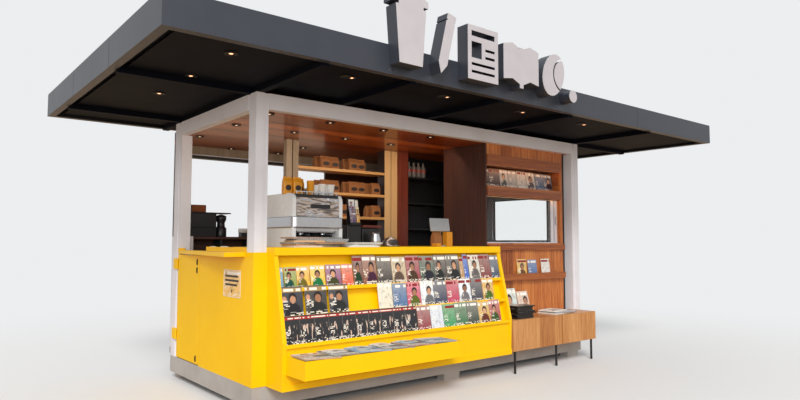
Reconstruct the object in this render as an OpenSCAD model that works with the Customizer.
// Street kiosk: a white steel frame on a raised base, yellow counter with magazine racks,
// timber display bay, rear service bay and a wide flat canopy with a built-up sign.
// Millimetres, +Z up. The front faces -Y. The origin is on the ground, below the middle of the
// overall bounding box. Inside place() x runs from the frame's left face, y from its front face
// and z from the ground.

/* [Frame] */
// Length of the white frame along the front
frame_l = 4150; // [3900:10:4600]
// Depth of the white frame
frame_w = 1750; // [1600:10:2000]
// Height of the frame from the underside of the base beams to its top
frame_h = 2400; // [2300:10:2600]
// Width of a corner post along the front
post_x = 112; // [90:1:140]
// Depth of a corner post along the side
post_y = 145; // [120:1:180]
// Thickness of a top beam, and of the proud part of each post
beam_t = 70; // [50:1:85]
// Height of a top beam
beam_h = 125; // [90:5:160]
// Depth of the rebate in a post
rebate = 12; // [6:1:20]

/* [Base and floor] */
// Height of the foot blocks
foot_h = 60; // [40:5:100]
// Length of a foot block
foot_l = 200; // [120:10:260]
// Depth of a foot block
foot_w = 100; // [70:10:140]
// Number of foot blocks along each long beam
foot_count = 3; // [2:1:5]
// Height of the base beams
base_h = 150; // [120:5:200]
// Thickness of the base beams
base_t = 60; // [40:5:80]
// Thickness of the floor deck
deck_t = 25; // [15:1:35]
// Height of a floor joist
joist_h = 90; // [60:5:100]
// Width of a floor joist
joist_w = 50; // [40:5:70]
// Number of floor joists
joist_count = 7; // [7:1:9]

/* [Canopy] */
// Overhang to the left of the frame
over_left = 1050; // [800:10:1200]
// Overhang to the right of the frame
over_right = 1240; // [900:10:1400]
// Overhang in front of the frame
over_front = 980; // [700:10:1100]
// Height of the fascia
fascia_h = 210; // [160:5:260]
// Thickness of the fascia's web and flanges
fascia_t = 8; // [5:1:12]
// Width of the fascia's flanges
flange_w = 60; // [40:5:80]
// Gap from the top of the frame up to the fascia's lower edge
fascia_gap = 20; // [10:1:35]
// Width of a canopy rib
rib_w = 60; // [40:5:80]
// Height of a canopy rib
rib_h = 80; // [70:5:110]
// Distance between the middle ribs
rib_pitch = 960; // [900:10:1100]
// Distance from the frame's left face to the first middle rib
rib_first = 770; // [700:10:900]
// Distance from the soffit sheets up to the top of the ribs
soffit_drop = 30; // [15:1:35]
// Thickness of the soffit sheets
soffit_t = 4; // [3:1:8]
// Thickness of the roof deck
roof_t = 18; // [12:1:25]

/* [Ceiling and lights] */
// Thickness of the ceiling boards
ceiling_t = 18; // [10:1:19]
// Radius of a downlight
light_r = 42; // [30:1:55]
// Height of a downlight's rim
light_h = 8; // [4:1:12]
// Distance between ceiling lights along the front
light_pitch = 583; // [500:1:640]
// Distance from the frame's front face to the first row of ceiling lights
light_row_a = 150; // [130:5:300]
// Distance from the first row of ceiling lights to the second
light_row_b = 620; // [500:10:700]
// Distance of the third row of ceiling lights from the frame's back face
light_row_c = 190; // [190:5:300]
// Distance of the fourth row of ceiling lights from the bay's back face
light_row_d = 110; // [90:5:200]
// Distance from the frame's left face to the first ceiling lights
light_first = 190; // [170:5:260]

/* [Rear bay] */
// Depth of the rear bay behind the frame
bay_d = 490; // [400:10:600]
// Distance from the frame's left face to the rear bay
bay_x = 160; // [150:5:250]
// Thickness of wall panels
wall_t = 28; // [20:1:40]
// Height of the low rear wall above the floor
rear_sill = 1145; // [1000:5:1250]
// Drop of the rear header below the ceiling
rear_head_drop = 137; // [100:1:300]
// Length of the rear window
rear_window_l = 1850; // [1400:10:2200]
// Distance from the corner posts to the window in the right wall
right_window_inset = 275; // [150:5:400]
// Height of the window in the right wall
right_window_h = 580; // [400:10:700]

/* [Counter] */
// Length of the yellow counter
counter_l = 2528; // [2300:4:2700]
// Height of the counter's plinth
plinth_h = 48; // [30:1:70]
// Height of the counter's underside above the floor
counter_under = 989; // [900:1:1040]
// Thickness of the counter top
counter_t = 60; // [40:1:80]
// Reach of the counter top in front of the frame
counter_out = 120; // [100:5:160]
// Reach of the counter top into the kiosk
counter_in = 620; // [500:10:700]
// Thickness of a counter gable
gable_t = 34; // [24:1:40]
// Reach of the gables at the foot of the sloping racks
gable_out = 260; // [230:5:300]
// Height of the foot of the sloping racks above the floor
slope_z = 350; // [300:5:400]
// Distance from the gables' sloping edge back to the rack board
rack_depth = 70; // [50:5:80]
// Thickness of the rack boards
rack_t = 16; // [10:1:20]
// Distance between the shelves of the magazine racks
rack_pitch = 203; // [190:1:215]
// Height of the lips on the magazine racks
rack_lip = 12; // [8:1:20]
// Length of the newspaper tray
tray_l = 1545; // [1200:5:2000]
// Reach of the newspaper tray in front of the counter
tray_out = 265; // [200:5:300]
// Height of the newspaper tray
tray_h = 135; // [100:5:160]
// Depth of the recess in the newspaper tray
tray_recess = 20; // [10:1:40]

/* [Left side] */
// Width of the service door
door_w = 536; // [480:2:600]
// Height of the service door
door_h = 960; // [900:2:1000]
// Thickness of the service door and of the fixed side panel
door_t = 28; // [22:1:36]
// Gap round the service door
door_gap = 8; // [7:1:10]
// Height of the lower hinge above the floor
hinge_low = 170; // [100:5:300]
// Height of the upper hinge above the floor
hinge_high = 830; // [600:5:850]
// Thickness of the side ledge
ledge_t = 34; // [24:1:50]
// Reach of the side ledge at its wide front end
ledge_out = 175; // [100:5:250]
// Height of the ledge's inner rail
ledge_rail = 36; // [20:1:50]
// Thickness of the yellow cladding on the front left post
clad_t = 4; // [2:1:6]

/* [Display bay] */
// Gap between the display bay and the right front post
display_gap = 98; // [70:1:150]
// Depth of the display bay's side panel
display_d = 630; // [500:10:700]
// Height of the magazine rail above the floor
rail_h = 686; // [600:2:720]
// Thickness of the display boards
board_t = 18; // [12:1:24]
// Height of the display window above the floor
window_z = 1082; // [1080:1:1120]
// Drop of the board above the niche below the top beam
band_drop = 113; // [90:1:140]
// Height of the board below the niche
band_h = 98; // [80:1:100]
// Height of the board above the niche
head_band_h = 110; // [80:1:115]
// Height of the niche
niche_h = 220; // [200:1:225]
// Depth of the niche
niche_d = 240; // [180:10:300]
// Width of the display wall's right jamb
jamb_w = 40; // [30:1:50]
// Width of a stile of the sliding window
window_bar = 45; // [30:1:50]

/* [Bench] */
// Height of the bench's underside above the ground
bench_z = 223; // [215:1:260]
// Height of the bench
bench_h = 304; // [250:2:340]
// Reach of the bench in front of the frame
bench_out = 240; // [200:5:280]
// Radius of a bench leg
leg_r = 12; // [8:1:18]

/* [Shelving] */
// Distance from the frame's left face to the coffee shelves' left posts
shelves_x = 917; // [880:1:960]
// Distance from the frame's front face to the shelving
shelves_y = 1175; // [1120:5:1220]
// Length of the coffee shelves between their posts
shelves_l = 1115; // [1000:5:1130]
// Depth of the coffee shelves
shelves_d = 220; // [150:10:260]
// Thickness of the coffee shelves
shelves_t = 28; // [18:1:36]
// Distance between the coffee shelves
shelves_pitch = 252; // [200:2:280]
// Distance from the ceiling down to the top coffee shelf
shelves_drop = 254; // [230:2:300]
// Width of a left twin post
twin_w = 63; // [40:1:70]
// Width of a right twin post
stile_w = 87; // [50:1:92]
// Gap between twin posts
twin_gap = 12; // [8:1:20]
// Length of the dark cabinet
cabinet_l = 1240; // [1100:10:1300]
// Depth of the dark cabinet
cabinet_d = 400; // [300:10:420]

/* [Coffee machine] */
// Length of the coffee machine
machine_l = 488; // [440:4:560]
// Depth of the coffee machine
machine_d = 500; // [400:10:500]
// Height of the coffee machine
machine_h = 445; // [400:5:460]
// Thickness of a side cheek
cheek_t = 34; // [20:1:45]

/* [Sign] */
// Distance from the frame's left face to the sign
sign_x = 480; // [300:10:700]
// Depth of the built-up sign shapes
sign_d = 110; // [60:5:140]
// Height of the sign shapes
sign_h = 420; // [360:10:480]
// Height of the sign's foot above the fascia's lower edge
sign_z = 60; // [30:5:90]

/* [Hidden] */
$fn = 48;

white = "#e9e6e1";
grey = "#b9b4ac";
anthracite = "#23252b";
yellow = "#f5b90a";
oak = "#b8773a";
walnut = "#5a3322";

// Heights above the ground
floor_z = foot_h + base_h;
frame_top = foot_h + frame_h;
beam_z = frame_top - beam_h;
ceiling_z = beam_z;
fascia_z = frame_top + fascia_gap;
rib_top = frame_top + rib_h;
soffit_z = rib_top - soffit_drop - soffit_t;
counter_z = floor_z + counter_under;
counter_top_z = counter_z + counter_t;
rear_sill_z = floor_z + rear_sill;
rear_head_z = ceiling_z - rear_head_drop;
window_bottom = floor_z + window_z;
band_top = beam_z - band_drop;
niche_top = band_top - head_band_h;
niche_z = niche_top - niche_h;
window_top = niche_z - band_h;

// Places along x and y
bay_y = frame_w + bay_d;
left_edge = -over_left;
right_edge = frame_l + over_right;
front_edge = -over_front;
sign_front = front_edge - sign_d;
counter_x = post_x;
counter_end = counter_x + counter_l;
display_x = counter_end;
display_end = frame_l - post_x - display_gap;
display_y = beam_t + 2;
door_y = frame_w - post_y - door_gap;
door_z = floor_z + door_gap + 1;
ledge_z = door_z + door_h + door_gap;
panel_end = door_y - door_w - door_gap;
hinge_x = -8;
hinge_y = door_y + 2;
hinge_r = 6;
stiles_x = shelves_x + 2 * twin_w + twin_gap + shelves_l;
cabinet_x = stiles_x + 2 * stile_w + twin_gap;
cabinet_y = shelves_y - 48;
machine_x = 384;
machine_y = 100;

centre_x = (left_edge + right_edge) / 2;
centre_y = (sign_front + bay_y) / 2;

// Stands the design frame on the overall box's middle
module place() {
    translate([-centre_x, -centre_y, 0]) children();
}

// Box between two corners
module box(a, b) {
    translate(a) cube([b[0] - a[0], b[1] - a[1], b[2] - a[2]]);
}

// Outline in the YZ plane drawn out along x
module along_x(x, length) {
    translate([x, 0, 0]) rotate([90, 0, 90]) linear_extrude(length) children();
}

// Outline in the XZ plane drawn out along y
module along_y(y, length) {
    translate([0, y + length, 0]) rotate([90, 0, 0]) linear_extrude(length) children();
}

// Rebated plan of a corner post whose outer corner is at the origin
module post_plan() {
    shoulder = post_y - (post_x - beam_t);
    polygon([[0, 0], [beam_t, 0], [beam_t, rebate], [post_x, rebate], [post_x, post_y],
        [rebate, post_y], [rebate, shoulder], [0, shoulder]]);
}

module corner_post(right, back) {
    color(white) place()
        translate([right ? frame_l : 0, back ? frame_w : 0, floor_z])
            mirror([right ? 1 : 0, 0, 0]) mirror([0, back ? 1 : 0, 0])
                linear_extrude(frame_top - floor_z) post_plan();
}

module post_front_left() { corner_post(false, false); }
module post_front_right() { corner_post(true, false); }
module post_back_left() { corner_post(false, true); }
module post_back_right() { corner_post(true, true); }

// Long base beam with its row of foot blocks; the blocks stand flush with the beam's outer face
module long_base_beam(y, foot_y) {
    foot_pitch = (frame_l - foot_l - 2 * 55) / (foot_count - 1);
    color(grey) place() {
        box([0, y, foot_h], [frame_l, y + base_t, floor_z]);
        for (i = [0 : foot_count - 1])
            translate([55 + i * foot_pitch, foot_y, 0]) cube([foot_l, foot_w, foot_h]);
    }
}

module base_beam_front() { long_base_beam(0, 0); }
module base_beam_back() { long_base_beam(frame_w - base_t, frame_w - foot_w); }

module short_base_beam(x) {
    color(grey) place() box([x, base_t, foot_h], [x + base_t, frame_w - base_t, floor_z]);
}

module base_beam_left() { short_base_beam(0); }
module base_beam_right() { short_base_beam(frame_l - base_t); }

// Deck laid between the base beams on its joists
module floor_deck() {
    joist_gap = (frame_l - 2 * base_t - joist_count * joist_w) / (joist_count + 1);
    color(walnut) place() {
        box([base_t, base_t, floor_z - deck_t], [frame_l - base_t, frame_w - base_t, floor_z]);
        for (i = [0 : joist_count - 1])
            translate([base_t + joist_gap + i * (joist_gap + joist_w), base_t,
                floor_z - deck_t - joist_h])
                cube([joist_w, frame_w - 2 * base_t, joist_h]);
    }
}

// The back beam is shallower, because the ceiling runs on below it
module long_beam(y, bottom) {
    color(white) place() box([post_x, y, bottom], [frame_l - post_x, y + beam_t, frame_top]);
}

module beam_front() { long_beam(0, beam_z); }
module beam_back() { long_beam(frame_w - beam_t, ceiling_z + ceiling_t); }

module short_beam(x) {
    color(white) place() box([x, post_y, beam_z], [x + beam_t, frame_w - post_y, frame_top]);
}

module beam_left() { short_beam(0); }
module beam_right() { short_beam(frame_l - beam_t); }

// Timber ceiling, notched round the posts and running back over the rear bay
module ceiling() {
    color(oak) place()
        translate([0, 0, ceiling_z]) linear_extrude(ceiling_t) difference() {
            union() {
                translate([beam_t, beam_t]) square([frame_l - 2 * beam_t, frame_w - beam_t]);
                translate([bay_x, frame_w]) square([frame_l - bay_x, bay_d]);
            }
            for (x = [0, frame_l - post_x], y = [0, frame_w - post_y])
                translate([x, y]) square([post_x, post_y]);
        }
}

module downlight(x, y, z) {
    translate([x, y, z - light_h]) difference() {
        cylinder(h = light_h, r = light_r);
        translate([0, 0, -1]) cylinder(h = light_h / 2 + 1, r = light_r - 9);
    }
}

// Round downlights in the ceiling, in four rows, and in the canopy's soffit
module downlights() {
    soffit_y = front_edge * 0.67;
    light_rows = [[light_row_a, 4, light_first], [light_row_a + light_row_b, 4, light_first],
        [frame_w - light_row_c, 3, light_first - 22],
        [bay_y - light_row_d, 3, light_first - 22 + light_pitch]];
    light_off_rib = 390;
    light_side_pitch = 690;
    color("#1d1b1a") place() {
        for (row = light_rows, i = [0 : row[1] - 1])
            downlight(row[2] + i * light_pitch, row[0], ceiling_z);
        for (i = [0 : 3])
            downlight(rib_first - light_off_rib + i * rib_pitch, soffit_y, soffit_z);
        for (i = [0 : 2])
            downlight(-over_left * 0.48, soffit_y + i * light_side_pitch, soffit_z);
    }
}

// Channel profile of the fascia, web outwards, in the plane across its run
module fascia_profile() {
    difference() {
        square([flange_w, fascia_h]);
        translate([fascia_t, fascia_t]) square([flange_w, fascia_h - 2 * fascia_t]);
    }
}

// The long channels run through; the short ones butt against their flanges
module fascia_front() {
    color(anthracite) place()
        translate([0, front_edge, fascia_z]) along_x(left_edge, right_edge - left_edge)
            fascia_profile();
}

module fascia_back() {
    color(anthracite) place()
        translate([0, bay_y, fascia_z]) along_x(left_edge, right_edge - left_edge)
            mirror([1, 0]) fascia_profile();
}

module fascia_left() {
    run = bay_y - front_edge - 2 * flange_w;
    color(anthracite) place() {
        translate([left_edge, 0, fascia_z]) along_y(front_edge + flange_w, run) fascia_profile();
        for (y = [front_edge + fascia_t, bay_y - flange_w])
            box([left_edge, y, fascia_z + fascia_t],
                [left_edge + fascia_t, y + flange_w - fascia_t, fascia_z + fascia_h - fascia_t]);
    }
}

module fascia_right() {
    run = bay_y - front_edge - 2 * flange_w;
    color(anthracite) place() {
        translate([right_edge, 0, fascia_z]) along_y(front_edge + flange_w, run)
            mirror([1, 0]) fascia_profile();
        for (y = [front_edge + fascia_t, bay_y - flange_w])
            box([right_edge - fascia_t, y, fascia_z + fascia_t],
                [right_edge, y + flange_w - fascia_t, fascia_z + fascia_h - fascia_t]);
    }
}

// Side view of a rib that is coped over the fascia's lower flange at both ends
module rib_profile(from, to) {
    flange_top = fascia_z + fascia_t;
    polygon([[from + fascia_t, flange_top], [from + flange_w, flange_top],
        [from + flange_w, frame_top], [to - flange_w, frame_top], [to - flange_w, flange_top],
        [to - fascia_t, flange_top], [to - fascia_t, rib_top], [from + fascia_t, rib_top]]);
}

// Ribs across the depth, and outriggers to the short fascias
rib_places = [10, rib_first, rib_first + rib_pitch, rib_first + 2 * rib_pitch,
    frame_l - 10 - rib_w];
outrigger_places = [100, frame_w - post_y];

module canopy_ribs() {
    color(anthracite) place() {
        for (x = rib_places) along_x(x, rib_w) rib_profile(front_edge, bay_y);
        intersection() {
            for (y = outrigger_places) along_y(y, rib_w) rib_profile(left_edge, right_edge);
            union() {
                box([left_edge, front_edge, frame_top], [rib_places[0] + 1, bay_y, rib_top]);
                box([rib_places[4] + rib_w - 1, front_edge, frame_top],
                    [right_edge, bay_y, rib_top]);
            }
        }
    }
}

// Soffit sheets between the ribs, stopped short of the left fascia where a slot stays open
module soffit_panels() {
    front = front_edge + flange_w;
    back = bay_y - flange_w;
    slot = 60;
    starts = [for (x = rib_places) x + rib_w];
    color(anthracite) place() {
        for (i = [0 : 3])
            box([starts[i], front, soffit_z], [rib_places[i + 1], back, soffit_z + soffit_t]);
        for (side = [[left_edge + flange_w + slot, rib_places[0]],
                [starts[4], right_edge - flange_w]],
            span = [[front, outrigger_places[0]],
                [outrigger_places[0] + rib_w, outrigger_places[1]],
                [outrigger_places[1] + rib_w, back]])
            box([side[0], span[0], soffit_z], [side[1], span[1], soffit_z + soffit_t]);
    }
}

module roof_deck() {
    color(anthracite) place()
        box([left_edge + fascia_t, front_edge + fascia_t, rib_top],
            [right_edge - fascia_t, bay_y - fascia_t, rib_top + roof_t]);
}

// Floor of the rear bay, carried on tapered brackets from the back base beam
module bay_floor() {
    bracket_w = 40;
    bracket_count = 7;
    bracket_pitch = (frame_l - bay_x - bracket_w) / (bracket_count - 1);
    color(grey) place() {
        box([bay_x, frame_w, floor_z - deck_t], [frame_l, bay_y, floor_z]);
        for (i = [0 : bracket_count - 1])
            along_x(bay_x + i * bracket_pitch, bracket_w)
                polygon([[frame_w, foot_h], [bay_y, floor_z - deck_t - 35],
                    [bay_y, floor_z - deck_t], [frame_w, floor_z - deck_t]]);
    }
}

// Low wall of the rear bay with its left end and the closing strip beside the post
module rear_wall_low() {
    color(white) place() {
        box([bay_x, bay_y - wall_t, floor_z], [frame_l, bay_y, rear_sill_z]);
        box([bay_x, frame_w, floor_z], [bay_x + wall_t, bay_y - wall_t, rear_sill_z]);
        box([post_x, frame_w - wall_t, floor_z], [bay_x + wall_t, frame_w, rear_sill_z]);
    }
}

// Closed part of the rear wall beside the window, and the bay's right end
module rear_wall_dark() {
    color(walnut) place() {
        box([bay_x + wall_t + rear_window_l, bay_y - wall_t, rear_sill_z],
            [frame_l, bay_y, rear_head_z]);
        box([frame_l - wall_t, frame_w, floor_z], [frame_l, bay_y - wall_t, ceiling_z]);
    }
}

// Header over the rear window, its left stud, and the valance up to the canopy
module rear_header() {
    color(walnut) place() {
        box([bay_x, bay_y - wall_t, rear_head_z], [frame_l, bay_y, ceiling_z]);
        box([bay_x, bay_y - wall_t, rear_sill_z], [bay_x + wall_t, bay_y, rear_head_z]);
        box([bay_x, bay_y - wall_t, ceiling_z + ceiling_t], [frame_l, bay_y, frame_top]);
    }
}

right_window_y = [post_y + right_window_inset, frame_w - post_y - right_window_inset];
right_window_z = [window_bottom, window_bottom + right_window_h];

module right_wall() {
    color(white) place() difference() {
        box([frame_l - wall_t, post_y, floor_z], [frame_l, frame_w - post_y, beam_z]);
        box([frame_l - wall_t - 1, right_window_y[0], right_window_z[0]],
            [frame_l + 1, right_window_y[1], right_window_z[1]]);
    }
}

glass_t = 6;
window_y = display_y + 78;

// Panes of the right wall's window and of the display window
module window_glass() {
    color([0.8, 0.9, 0.9, 0.4]) place() {
        box([frame_l - wall_t / 2 - glass_t / 2, right_window_y[0], right_window_z[0]],
            [frame_l - wall_t / 2 + glass_t / 2, right_window_y[1], right_window_z[1]]);
        box([display_x + board_t + window_bar, window_y - 18, window_bottom + 12],
            [display_end - jamb_w - 2 * window_bar - 26, window_y - 18 + glass_t,
            window_top - 12]);
    }
}

// Fixed yellow panel beside the service door
module side_panel() {
    color(yellow) place() box([0, post_y, floor_z], [door_t, panel_end, ledge_z]);
}

// Ledge along the left side: a wedge in plan, wide at the front post, with a rail along its
// inner edge and a stop against the back post
module side_ledge() {
    inner = 60;
    top_z = ledge_z + ledge_t;
    back = frame_w - post_y;
    color(yellow) place() {
        translate([0, 0, ledge_z]) linear_extrude(ledge_t)
            polygon([[inner, post_y], [-ledge_out, post_y], [-ledge_out * 0.97, post_y + 30],
                [0, back], [inner, back]]);
        box([inner - 28, post_y, top_z], [inner, panel_end - 50, top_z + ledge_rail]);
        box([0, back - 20, top_z], [inner, back, top_z + 18]);
    }
}

// Half-height service door, hinged on the back left post
module side_door() {
    color(yellow) place()
        box([0, door_y - door_w, door_z], [door_t, door_y, door_z + door_h]);
}

// Three slotted latches near the free edge of the service door
module door_latches() {
    latch_y = door_y - door_w + 58;
    half = 18;
    color("#3a3430") place()
        for (z = [door_z + 46, door_z + 826, door_z + 898]) {
            hull() for (side = [-1, 1])
                translate([-3, latch_y, z + side * half]) rotate([0, 90, 0]) cylinder(h = 3, r = 11);
            box([-8, latch_y - 3, z - half], [-3, latch_y + 3, z + half]);
        }
}

// Hinges on the back left post, each a plate and a knuckle round the door's axis
module door_hinges() {
    plate_h = 100;
    color(yellow) place()
        for (z = [floor_z + hinge_low, floor_z + hinge_high]) {
            box([hinge_x - 4, hinge_y + hinge_r + 2, z], [0, hinge_y + hinge_r + 90, z + plate_h]);
            box([hinge_x - 4, hinge_y, z], [hinge_x - 1, hinge_y + hinge_r + 3, z + plate_h]);
            translate([hinge_x, hinge_y, z]) cylinder(h = plate_h, r = hinge_r);
        }
}

// Thin yellow sheet folded round the lower front left post
module post_cladding() {
    clad_top = ledge_z + ledge_t;
    color(yellow) place() {
        box([-clad_t, -clad_t, floor_z], [post_x, 0, clad_top]);
        box([-clad_t, 0, floor_z], [0, post_y, clad_top]);
    }
}

module counter_top() {
    color(yellow) place()
        box([counter_x, -counter_out, counter_z], [counter_end, counter_in, counter_top_z]);
}

// Base board of the counter, which shows as a plinth line
module counter_plinth() {
    color(yellow) place()
        box([counter_x, -gable_out, floor_z], [counter_end, counter_in - 20, floor_z + plinth_h]);
}

// Line of the gables' sloping front edge: y at a height above the floor
function slope_y(h) = -gable_out + (h - slope_z) / (counter_under - slope_z)
    * (gable_out - counter_out + 10);

module gable(x) {
    color(yellow) place() along_x(x, gable_t)
        polygon([[counter_in - 20, floor_z + plinth_h], [counter_in - 20, counter_z],
            [slope_y(counter_under), counter_z], [-gable_out, floor_z + slope_z],
            [-gable_out + 8, floor_z + plinth_h]]);
}

module counter_gable_left() { gable(counter_x); }
module counter_gable_right() { gable(counter_end - gable_t); }

rack_x = counter_x + gable_t;
rack_l = counter_l - 2 * gable_t;
rack_floor = slope_z - 25;

// Sloping board behind the magazine racks and upright board below them
module counter_front() {
    color(yellow) place() {
        along_x(rack_x, rack_l)
            polygon([[slope_y(counter_under) + rack_depth, counter_z],
                [slope_y(counter_under) + rack_depth + rack_t, counter_z],
                [slope_y(rack_floor) + rack_depth + rack_t, floor_z + rack_floor],
                [slope_y(rack_floor) + rack_depth, floor_z + rack_floor]]);
        box([rack_x, -gable_out + 12, floor_z + plinth_h],
            [rack_x + rack_l, -gable_out + 12 + rack_t, floor_z + rack_floor - rack_t]);
    }
}

// Three stepped shelves with low front lips that hold the magazines
module magazine_racks() {
    setback = 10;
    lip_t = 6;
    color(yellow) place()
        for (i = [0 : 2]) {
            h = rack_floor + i * rack_pitch;
            front = slope_y(h) + (i == 0 ? 0 : setback);
            rear = slope_y(h - rack_t) + rack_depth + (i == 0 ? rack_t : 0);
            box([rack_x, front, floor_z + h - rack_t], [rack_x + rack_l, rear, floor_z + h]);
            box([rack_x, front, floor_z + h],
                [rack_x + rack_l, front + lip_t, floor_z + h + rack_lip]);
        }
}

// Closed tray in front of the counter with a shallow recess for newspapers
module newspaper_tray() {
    back = -gable_out + 12;
    front = -gable_out - tray_out;
    top_z = floor_z + slope_z - 95;
    rim = 18;
    color(yellow) place() difference() {
        box([rack_x, front, top_z - tray_h], [rack_x + tray_l, back, top_z]);
        box([rack_x + rim, front + rim, top_z - tray_recess],
            [rack_x + tray_l - rim, back - rim, top_z + 1]);
    }
}

// Left side of the display bay, and the set-back strip between the board wall and the post
module display_side() {
    color(walnut) place() {
        box([display_x, display_y, floor_z],
            [display_x + board_t, display_y + display_d, ceiling_z]);
        box([display_end, display_y + 50, floor_z],
            [frame_l - post_x, display_y + 50 + board_t, ceiling_z]);
    }
}

// Board wall of the display bay: below the window, right jamb and above the niche
module display_wall() {
    x0 = display_x + board_t;
    color(oak) place() {
        box([x0, display_y, floor_z], [display_end, display_y + board_t, window_bottom]);
        box([display_end - jamb_w, display_y, window_bottom],
            [display_end, window_y, band_top]);
        box([x0, display_y, band_top], [display_end, display_y + board_t, ceiling_z]);
    }
}

// Lit niche between two projecting bands
module display_niche() {
    x0 = display_x + board_t;
    x1 = display_end - jamb_w;
    back = display_y + niche_d;
    color(oak) place() {
        box([x0, display_y - rebate, niche_z - band_h], [x1, display_y + board_t, niche_z]);
        box([x0, display_y - rebate, niche_top], [x1, display_y + board_t, band_top]);
        box([x0, display_y + board_t, niche_z - board_t], [x1, back, niche_z]);
        box([x0, display_y + board_t, niche_top], [x1, back, niche_top + board_t]);
        box([x0, back - board_t, niche_z], [x1, back, niche_top]);
        box([x1 - board_t, display_y + board_t, niche_z], [x1, back - board_t, niche_top]);
    }
}

// Sliding window: thin head and sill tracks, a left stile and two stiles beside the right jamb
module display_window_frame() {
    x0 = display_x + board_t;
    x1 = display_end - jamb_w;
    track = 12;
    color(white) place() {
        for (z = [window_bottom, window_top - track])
            box([x0, window_y - 30, z], [x1, window_y, z + track]);
        for (x = [x0, x1 - 2 * window_bar - 26, x1 - window_bar])
            box([x, window_y - 30, window_bottom + track],
                [x + window_bar, window_y, window_top - track]);
    }
}

// Sill board and the magazine rail below the window
module display_rails() {
    x0 = display_x + board_t;
    rail_z = floor_z + rail_h;
    rail_out = 45;
    rail_up = 70;
    sill_up = 60;
    color(oak) place() {
        box([x0, display_y - 30, window_bottom - 14 - sill_up],
            [display_end, display_y, window_bottom - 14]);
        box([x0, display_y - rail_out, rail_z],
            [display_end - 15, display_y - rail_out + board_t, rail_z + rail_up]);
        box([x0, display_y - rail_out + board_t, rail_z],
            [display_end - 15, display_y, rail_z + board_t]);
    }
}

bench_x = display_x + 40;
bench_end = frame_l - 60;
bench_joint = 20;

// Two timber boxes side by side on front legs; behind the front line they stop at the post
module bench() {
    middle = bench_x + (bench_end - bench_x) * 0.56;
    color(oak) place() {
        box([bench_x, -bench_out, bench_z], [middle, display_y, bench_z + bench_h]);
        box([middle + bench_joint, -bench_out, bench_z], [bench_end, 0, bench_z + bench_h]);
        box([middle + bench_joint, 0, bench_z],
            [frame_l - post_x, display_y, bench_z + bench_h]);
    }
}

module bench_legs() {
    inset = 55;
    color("#1b1b1d") place()
        for (x = [bench_x + inset, bench_x + 0.51 * (bench_end - bench_x), bench_end - inset])
            translate([x, -bench_out + 25, 0]) cylinder(h = bench_z, r = leg_r);
}

module twin_posts(x, width, depth) {
    for (i = [0, 1])
        box([x + i * (width + twin_gap), shelves_y, floor_z],
            [x + i * (width + twin_gap) + width, shelves_y + depth, ceiling_z]);
}

module shelf_posts_left() { color("#8a7660") place() twin_posts(shelves_x, twin_w, 60); }
module shelf_posts_right() { color("#d3a368") place() twin_posts(stiles_x, stile_w, 130); }

module coffee_shelves() {
    x0 = shelves_x + 2 * twin_w + twin_gap;
    color("#c98d4b") place()
        for (i = [0 : 2]) {
            top = ceiling_z - shelves_drop - i * shelves_pitch;
            box([x0, shelves_y, top - shelves_t],
                [x0 + shelves_l, shelves_y + shelves_d, top]);
        }
}

// Open dark cabinet: two sides, a front board at the left, a back and three shelves
module dark_cabinet() {
    x1 = cabinet_x + cabinet_l;
    y1 = cabinet_y + cabinet_d;
    color("#15151a") place() {
        for (x = [cabinet_x, x1 - board_t])
            box([x, cabinet_y, floor_z], [x + board_t, y1, ceiling_z]);
        box([cabinet_x + board_t, cabinet_y, floor_z],
            [cabinet_x + 120, cabinet_y + board_t, ceiling_z]);
        box([cabinet_x + board_t, y1 - board_t, floor_z], [x1 - board_t, y1, ceiling_z]);
        for (drop = [275, 575, 875])
            box([cabinet_x + board_t, cabinet_y + 20, ceiling_z - drop - board_t],
                [x1 - board_t, y1 - board_t, ceiling_z - drop]);
    }
}

// Rounded side cheek of the coffee machine in the YZ plane, with a cut-out over the counter
module cheek_outline() {
    r = 60;
    arc = [for (a = [90 : 15 : 180]) [r + r * cos(a), machine_h - r + r * sin(a)]];
    leg = [for (a = [0 : 15 : 90]) [190 - 90 * sin(a), 110 * (1 - cos(a))]];
    polygon(concat([[machine_d, 0], [machine_d, machine_h]], arc, [[0, 0], [100, 0]],
        [for (i = [1 : 5]) leg[6 - i]], [[190, 0]]));
}

module espresso_machine() {
    x1 = machine_x + machine_l;
    color("#dcdcdc") place() translate([0, machine_y, counter_top_z]) {
        for (x = [machine_x, x1 - cheek_t]) along_x(x, cheek_t) cheek_outline();
        box([machine_x + cheek_t, 12, 180], [x1 - cheek_t, machine_d, machine_h - 35]);
        box([machine_x + cheek_t, 200, 30], [x1 - cheek_t, machine_d, 180]);
        along_x(machine_x + cheek_t, machine_l - 2 * cheek_t)
            translate([60, 160]) circle(r = 40);
    }
}

// Sign shapes, each drawn in the XZ plane from its own foot
module cup_shape(s) {
    polygon([[0.12 * s, 0], [0.62 * s, 0], [0.70 * s, 0.98 * s], [0.04 * s, 0.98 * s]]);
    translate([-0.01 * s, 1.03 * s]) square([0.76 * s, 0.12 * s]);
    translate([0.05 * s, 1.15 * s]) square([0.64 * s, 0.10 * s]);
    translate([0.10 * s, 0.98 * s]) square([0.54 * s, 0.06 * s]);
    translate([0.50 * s, 1.25 * s]) square([0.07 * s, 0.35 * s]);
}

module pencil_shape(s) {
    rotate(-14) {
        polygon([[0, 0.20 * s], [0.11 * s, 0], [0.22 * s, 0.20 * s], [0.22 * s, 1.06 * s],
            [0, 1.06 * s]]);
        translate([0, 1.09 * s]) square([0.22 * s, 0.12 * s]);
        translate([0.02 * s, 1.05 * s]) square([0.18 * s, 0.05 * s]);
    }
}

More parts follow.
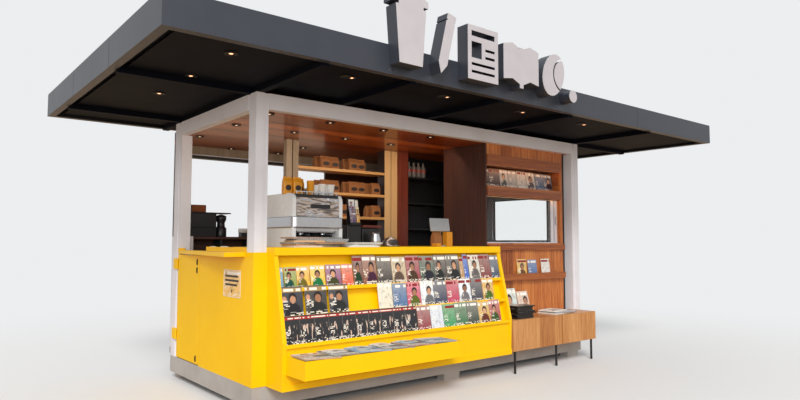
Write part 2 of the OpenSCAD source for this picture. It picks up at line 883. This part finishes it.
module paper_shape(s) {
    difference() {
        square([0.80 * s, s]);
        translate([0.09 * s, 0.80 * s]) square([0.62 * s, 0.10 * s]);
        translate([0.09 * s, 0.40 * s]) square([0.27 * s, 0.30 * s]);
        for (h = [0.12, 0.26])
            translate([0.09 * s, h * s]) square([0.62 * s, 0.05 * s]);
        for (h = [0.42, 0.56])
            translate([0.45 * s, h * s]) square([0.26 * s, 0.05 * s]);
    }
}

module book_shape(s) {
    for (side = [0, 1])
        translate([0.52 * s, 0]) mirror([side, 0])
            polygon([[0.02 * s, 0.10 * s], [0.26 * s, 0.20 * s], [0.52 * s, 0.16 * s],
                [0.52 * s, 0.84 * s], [0.26 * s, 0.90 * s], [0.02 * s, 0.80 * s]]);
    translate([0.47 * s, 0.04 * s]) square([0.10 * s, 0.80 * s]);
}

module bean_shape(s) {
    translate([0.34 * s, 0.46 * s]) rotate(-24) difference() {
        scale([0.72, 1]) circle(r = 0.46 * s);
        translate([0.30 * s, 0.16 * s]) difference() {
            circle(r = 0.36 * s);
            circle(r = 0.32 * s);
        }
    }
}

module sign_outline() {
    cup_shape(sign_h);
    translate([sign_h * 0.95, 0]) pencil_shape(sign_h * 0.92);
    translate([sign_h * 1.71, 0]) paper_shape(sign_h);
    translate([sign_h * 2.67, 0]) book_shape(sign_h);
    translate([sign_h * 3.86, sign_h * 0.02]) bean_shape(sign_h);
    translate([sign_h * 4.86, sign_h * 0.13]) circle(r = sign_h * 0.13);
}

module sign_shapes() {
    color(anthracite) place()
        translate([sign_x, 0, fascia_z + sign_z]) along_y(sign_front, sign_d) sign_outline();
}

base_beam_front();
base_beam_back();
base_beam_left();
base_beam_right();
floor_deck();
post_front_left();
post_front_right();
post_back_left();
post_back_right();
beam_front();
beam_back();
beam_left();
beam_right();
ceiling();
downlights();
fascia_front();
fascia_back();
fascia_left();
fascia_right();
canopy_ribs();
soffit_panels();
roof_deck();
bay_floor();
rear_wall_low();
rear_wall_dark();
rear_header();
right_wall();
window_glass();
side_panel();
side_ledge();
side_door();
door_latches();
door_hinges();
post_cladding();
counter_plinth();
counter_top();
counter_gable_left();
counter_gable_right();
counter_front();
magazine_racks();
newspaper_tray();
display_side();
display_wall();
display_niche();
display_window_frame();
display_rails();
bench();
bench_legs();
shelf_posts_left();
shelf_posts_right();
coffee_shelves();
dark_cabinet();
espresso_machine();
sign_shapes();
